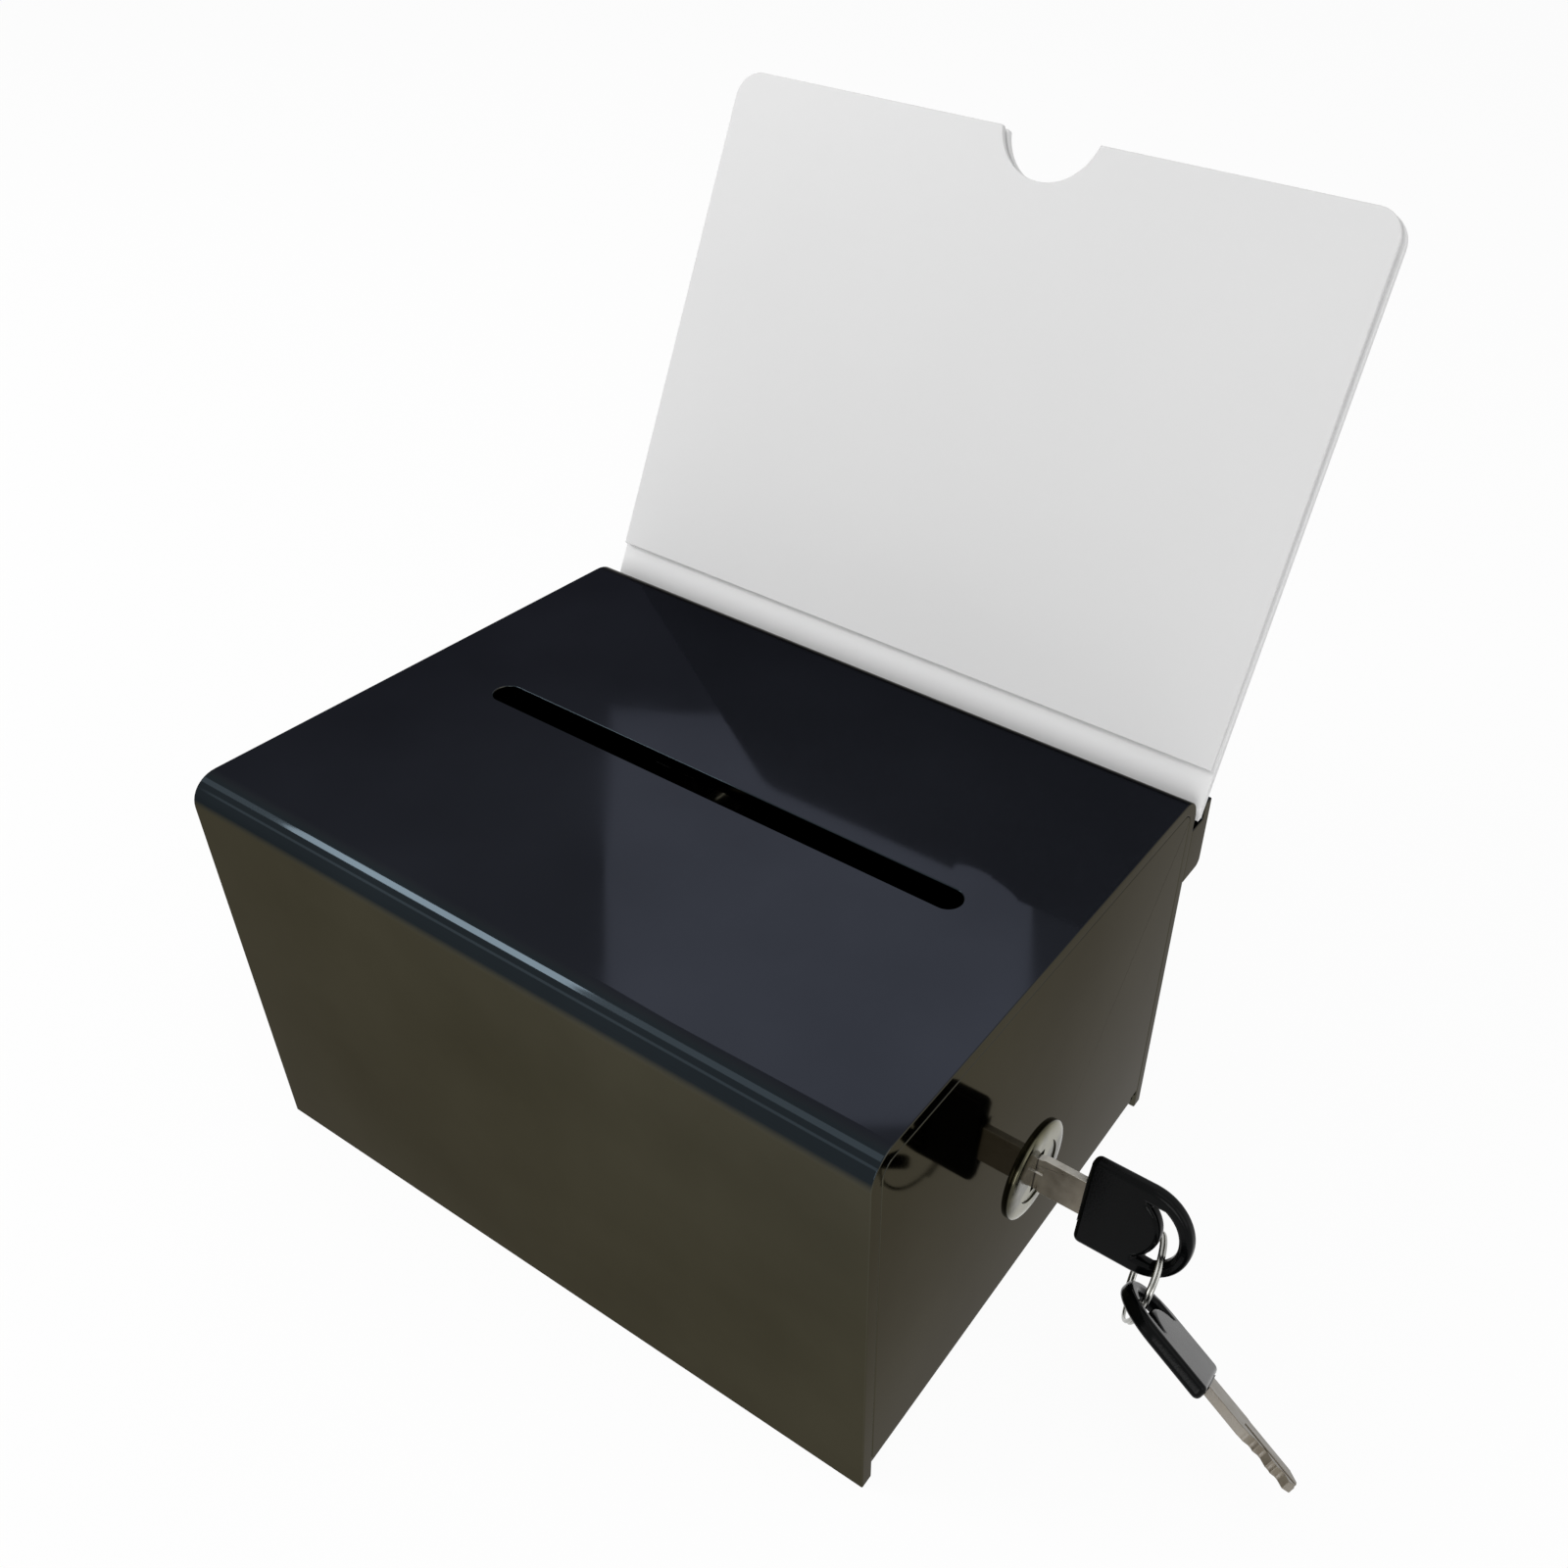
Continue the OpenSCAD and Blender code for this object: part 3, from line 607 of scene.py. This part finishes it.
def ring_mesh(steps=170, sides=14):
    """Wire wound twice round, crossing over between its two closed ends."""
    centre, radius, wire, offset, up, along, axis = ring_measures()
    wire *= 0.995
    start, turn = math.radians(235), math.radians(650)
    cross = math.radians(295), math.radians(355)
    vertices, faces = [], []
    for step in range(steps + 1):
        travelled = turn * step / steps
        angle = start + travelled
        share = min(1, max(0, (travelled - cross[0]) / (cross[1] - cross[0])))
        height = offset * (2 * share * share * (3 - 2 * share) - 1)
        outward = up * math.cos(angle) + along * math.sin(angle)
        middle = centre + outward * radius + axis * height
        for side in range(sides):
            around = math.tau * side / sides
            vertices.append(middle + wire * (outward * math.cos(around) + axis * math.sin(around)))
    for step in range(steps):
        for side in range(sides):
            here, there = step * sides + side, step * sides + (side + 1) % sides
            faces.append((here, there, there + sides, here + sides))
    faces.append(tuple(reversed(range(sides))))
    faces.append(tuple(range(steps * sides, (steps + 1) * sides)))
    mesh = bpy.data.meshes.new("Split ring")
    mesh.from_pydata(vertices, [], faces)
    mesh.shade_smooth()
    return mesh


def add_ring(material):
    """The split ring, wound from one wire."""
    mesh = ring_mesh()
    mesh.materials.append(material)
    ring = bpy.data.objects.new("split_ring", mesh)
    bpy.context.scene.collection.objects.link(ring)
    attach(ring, "ring")
    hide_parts("key_ring")


class BALLOTBOX_OT_sheets(bpy.types.Operator):
    """Finish the bent shell, the side panels, the channel and the door in black acrylic"""

    bl_idname = "ballotbox.sheets"
    bl_label = "Black Sheets"

    def execute(self, context):
        dress(CASE_SHEETS + DOOR_SHEETS, acrylic_material(), finish_settings().sheet_edge)
        return {"FINISHED"}


class BALLOTBOX_OT_sign(bpy.types.Operator):
    """Finish the two sheets of the sign"""

    bl_idname = "ballotbox.sign"
    bl_label = "Sign"

    def execute(self, context):
        finish = finish_settings()
        # The back sheet's lighter colour is painted light that offsets the shade on its low strip.
        for node, colour in zip(SIGN_SHEETS, (finish.sign_back, finish.sign_front)):
            dress((node,), sign_material(node.replace("_", " ").capitalize(), colour), finish.sheet_edge)
        return {"FINISHED"}


class BALLOTBOX_OT_hinges(bpy.types.Operator):
    """Finish the hinge leaves, their pins and their screws"""

    bl_idname = "ballotbox.hinges"
    bl_label = "Hinges"

    def execute(self, context):
        finish = finish_settings()
        leaf = metal_material("Hinge steel", finish.steel, 0.28, 0.4, (8, 0.6, 8))
        zinc = metal_material("Zinc plated steel", finish.steel, 0.3, 0.45)
        dress(HINGE_LEAVES, leaf, finish.metal_edge, overlap=False)
        dress(HINGE_PINS + LEAF_SCREWS, zinc, finish.metal_edge)
        return {"FINISHED"}


class BALLOTBOX_OT_lock(bpy.types.Operator):
    """Finish the cam lock, front and back"""

    bl_idname = "ballotbox.lock"
    bl_label = "Lock"

    def execute(self, context):
        finish = finish_settings()
        # The dark end of the painted reflection sectors.
        dark = tuple(0.3 * c for c in finish.chrome)
        chrome = turned_material("Lock chrome", dark, finish.chrome)
        zinc = metal_material("Lock zinc", finish.steel, 0.3, 0.45)
        dress(LOCK_FRONT, chrome, finish.lock_edge)
        dress(LOCK_BACK, zinc, finish.metal_edge)
        return {"FINISHED"}


class BALLOTBOX_OT_keys(bpy.types.Operator):
    """Finish the two keys and their ring"""

    bl_idname = "ballotbox.keys"
    bl_label = "Keys"

    def execute(self, context):
        finish = finish_settings()
        wire = metal_material("Ring nickel", finish.ring, 0.14, 0.24)
        tones = ((finish.nickel, finish.nickel_edge_highlight), (finish.spare_face, finish.spare_edge_highlight))
        for node, (face, edge) in zip(BLADES, tones):
            dress((node,), blade_material(node, face, edge), finish.metal_edge)
        dress(HEADS, head_material(), finish.head_edge, 4)
        add_ring(wire)
        return {"FINISHED"}


def camera_ray_mask(tree):
    """1 for rays that see the background, straight or in a reflection, and 0 for others."""
    path = tree.nodes.new("ShaderNodeLightPath")
    total = path.outputs["Is Camera Ray"]
    for name in ("Is Glossy Ray", "Is Transmission Ray"):
        add = tree.nodes.new("ShaderNodeMath")
        add.operation = "MAXIMUM"
        tree.links.new(total, add.inputs[0])
        tree.links.new(path.outputs[name], add.inputs[1])
        total = add.outputs[0]
    return total


def set_world(level):
    """White to the eye and in reflections, and a softer light for the rest."""
    world = bpy.data.worlds.new("Studio sky")
    world.use_nodes = True
    tree = world.node_tree
    seen = tree.nodes["Background"]
    seen.inputs["Color"].default_value = (1, 1, 1, 1)
    seen.inputs["Strength"].default_value = 1
    light = tree.nodes.new("ShaderNodeBackground")
    light.inputs["Color"].default_value = (1, 1, 1, 1)
    light.inputs["Strength"].default_value = level
    mix = tree.nodes.new("ShaderNodeMixShader")
    tree.links.new(camera_ray_mask(tree), mix.inputs["Fac"])
    tree.links.new(light.outputs[0], mix.inputs[1])
    tree.links.new(seen.outputs[0], mix.inputs[2])
    tree.links.new(mix.outputs[0], tree.nodes["World Output"].inputs["Surface"])
    bpy.context.scene.world = world


def floor_material(colour):
    """Pale floor that reads white and still keeps a soft shadow."""
    material = base_material("Pale floor", Roughness=0.9, Specular_IOR_Level=0.0)
    tree = material.node_tree
    shader = tree.nodes["Principled BSDF"]
    shader.inputs["Base Color"].default_value = (*colour, 1)
    glow = tree.nodes.new("ShaderNodeEmission")
    glow.inputs["Color"].default_value = (1, 1, 1, 1)
    share = tree.nodes.new("ShaderNodeMath")
    share.operation = "MULTIPLY"
    share.inputs[1].default_value = 0.95
    mix = tree.nodes.new("ShaderNodeMixShader")
    tree.links.new(camera_ray_mask(tree), share.inputs[0])
    tree.links.new(share.outputs[0], mix.inputs["Fac"])
    tree.links.new(shader.outputs[0], mix.inputs[1])
    tree.links.new(glow.outputs[0], mix.inputs[2])
    tree.links.new(mix.outputs[0], tree.nodes["Material Output"].inputs["Surface"])
    return material


def add_floor(size, colour):
    half = size / 2
    mesh = bpy.data.meshes.new("Floor")
    corners = [(-half, -half, 0), (half, -half, 0), (half, half, 0), (-half, half, 0)]
    mesh.from_pydata(corners, [], [(0, 1, 2, 3)])
    mesh.materials.append(floor_material(colour))
    floor = bpy.data.objects.new("Floor", mesh)
    floor.location.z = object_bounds()[0][2]
    bpy.context.scene.collection.objects.link(floor)
    floor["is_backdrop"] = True


def add_lamp(name, place, aim, width, depth, power):
    """A soft rectangular lamp at one place, turned towards another."""
    data = bpy.data.lights.new(name, "AREA")
    data.shape = "RECTANGLE"
    data.size = width
    data.size_y = depth
    data.energy = power
    lamp = bpy.data.objects.new(name, data)
    away = Vector(place) - Vector(aim)
    lamp.matrix_world = Matrix.Translation(place) @ away.to_track_quat("Z", "Y").to_matrix().to_4x4()
    bpy.context.scene.collection.objects.link(lamp)


def add_camera(place, lens):
    """The photograph's viewpoint, with its off-centre framing."""
    right = Vector((0.8488, 0.5244, 0.0681)).normalized()
    forward = Vector((-0.3816, 0.6966, -0.6076)).normalized()
    up = right.cross(forward).normalized()
    turn = Matrix((right, up, -forward)).transposed().to_4x4()
    data = bpy.data.cameras.new("Camera")
    data.sensor_fit = "HORIZONTAL"
    data.sensor_width = 36
    data.lens = lens
    data.shift_x = -0.1288
    data.shift_y = 0.0159
    camera = bpy.data.objects.new("Camera", data)
    camera.matrix_world = Matrix.Translation(place) @ turn
    bpy.context.scene.collection.objects.link(camera)
    bpy.context.scene.camera = camera


class BALLOTBOX_OT_stage(bpy.types.Operator):
    """Set the floor, the sky, the lamps and the camera"""

    bl_idname = "ballotbox.stage"
    bl_label = "Stage"

    def execute(self, context):
        stage = stage_settings()
        context.scene.view_settings.view_transform = "Standard"
        set_world(stage.sky_level)
        add_floor(stage.floor_size, stage.floor)
        middle = (0, 0.06, 0.08)
        add_lamp("Overhead", (0.4, 0.1, 1.1), middle, 0.8, 0.8, 1.6)
        add_lamp("Front strip", (-0.67, -0.318, 0.8), (-0.67, 0.06, 0.08), 0.34, 0.28, 3.5)
        add_lamp("Front glow", (-0.62, -0.33, 0.82), (-0.62, 0.06, 0.08), 0.85, 0.28, 1.2)
        add_lamp("Low strip", (-0.8, -0.94, 0.64), (-0.8, 0.06, 0.08), 1.0, 0.16, 0.55)
        add_lamp("Front fill", (0.35, -0.8, 0.35), middle, 0.5, 0.5, 3.0)
        add_lamp("Right fill", (0.9, 0.0, 0.5), middle, 0.6, 0.6, 1.5)
        add_lamp("Rear softbox", (-0.63, 0.93, 1.1), middle, 0.52, 0.5, 1.25)
        add_camera(tuple(stage.camera_place), stage.lens)
        return {"FINISHED"}


OPERATORS = (
    BALLOTBOX_OT_stage,
    BALLOTBOX_OT_sheets,
    BALLOTBOX_OT_sign,
    BALLOTBOX_OT_hinges,
    BALLOTBOX_OT_lock,
    BALLOTBOX_OT_keys,
)


class BALLOTBOX_PT_sidebar(bpy.types.Panel):
    """Lists the steps that finish the ballot box"""

    bl_idname = "BALLOTBOX_PT_sidebar"
    bl_label = "Ballot Box"
    bl_space_type = "VIEW_3D"
    bl_region_type = "UI"
    bl_category = "Ballot Box"

    def draw(self, context):
        for operator in OPERATORS:
            self.layout.operator(operator.bl_idname)
        for group in (context.scene.ballot_box_finish, context.scene.ballot_box_stage):
            for name in group.__annotations__:
                self.layout.prop(group, name)


CLASSES = (BallotBoxFinish, BallotBoxStage, *OPERATORS, BALLOTBOX_PT_sidebar)


def register():
    for cls in CLASSES:
        bpy.utils.register_class(cls)
    bpy.types.Scene.ballot_box_finish = bpy.props.PointerProperty(type=BallotBoxFinish)
    bpy.types.Scene.ballot_box_stage = bpy.props.PointerProperty(type=BallotBoxStage)


def unregister():
    del bpy.types.Scene.ballot_box_stage
    del bpy.types.Scene.ballot_box_finish
    for cls in reversed(CLASSES):
        bpy.utils.unregister_class(cls)


def main():
    register()
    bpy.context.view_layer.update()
    for operator in OPERATORS:
        group, name = operator.bl_idname.split(".")
        getattr(getattr(bpy.ops, group), name)()


if __name__ == "__main__":
    main()
